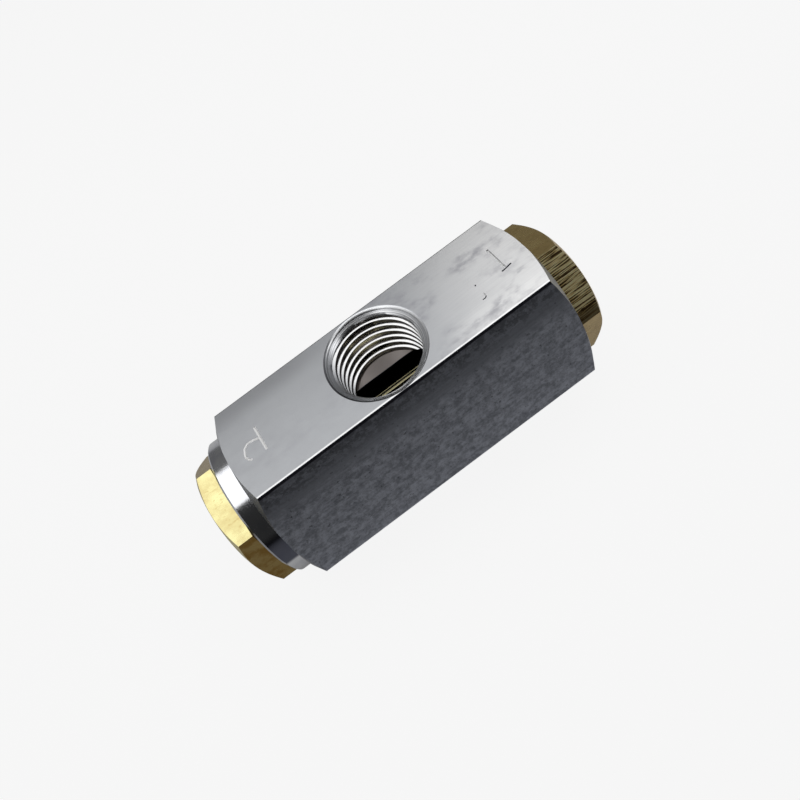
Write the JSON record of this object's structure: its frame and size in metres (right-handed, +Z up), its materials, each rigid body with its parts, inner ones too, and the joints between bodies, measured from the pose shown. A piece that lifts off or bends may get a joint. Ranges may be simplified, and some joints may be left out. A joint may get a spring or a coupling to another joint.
{
  "type": "blowdown valve",
  "caption": "Inline piston blowdown valve on a hexagonal aluminium bar, with a threaded side port and brass end fittings; a piston closes the inlet against a return spring.",
  "frame": {"origin": "on the bottom flat of the hexagonal bar, straight under the side port's axis", "axes": "+X along the bar towards end 1, the inlet; +Z up, out of the side port; +Y across the bar"},
  "size_m": [0.058, 0.0292, 0.0254],
  "materials": {
    "bar_aluminium": "drawn hexagonal bar, lightly brushed along its length, with handling marks",
    "fitting_brass": "machined from drawn hexagonal bar",
    "bonnet_steel": "fine turned",
    "inner_brass": "turned",
    "small_steel": "plain",
    "spring_steel": "drawn stainless wire",
    "seal_rubber": "moulded, matt",
    "gasket_fibre": "pressed fibre",
    "guide_plastic": "turned low friction plastic"
  },
  "bodies": {
    "housing": {"body": "bar_aluminium", "inlet_fitting": "fitting_brass", "inlet_o_ring": "seal_rubber", "bonnet": "bonnet_steel", "bonnet_o_ring": "seal_rubber", "control_fitting": "fitting_brass", "control_gasket": "gasket_fibre", "guide_bush": "guide_plastic", "return_spring": "spring_steel"},
    "plunger": {"piston": "inner_brass", "piston_o_ring": "seal_rubber", "piston_guide_ring": "guide_plastic", "piston_washer": "small_steel", "piston_nut": "small_steel", "stem": "inner_brass", "stem_o_ring": "seal_rubber", "poppet": "inner_brass", "seat_disc": "seal_rubber", "disc_washer": "small_steel", "poppet_nut": "small_steel"}
  },
  "joints": [
    {"name": "plunger_slide", "type": "slide", "parent": "housing", "child": "plunger", "axis": [1, 0, 0], "range_m": [0, 0.0025], "stiffness_N_per_m": 1100, "deforming": ["return_spring"]}
  ]
}
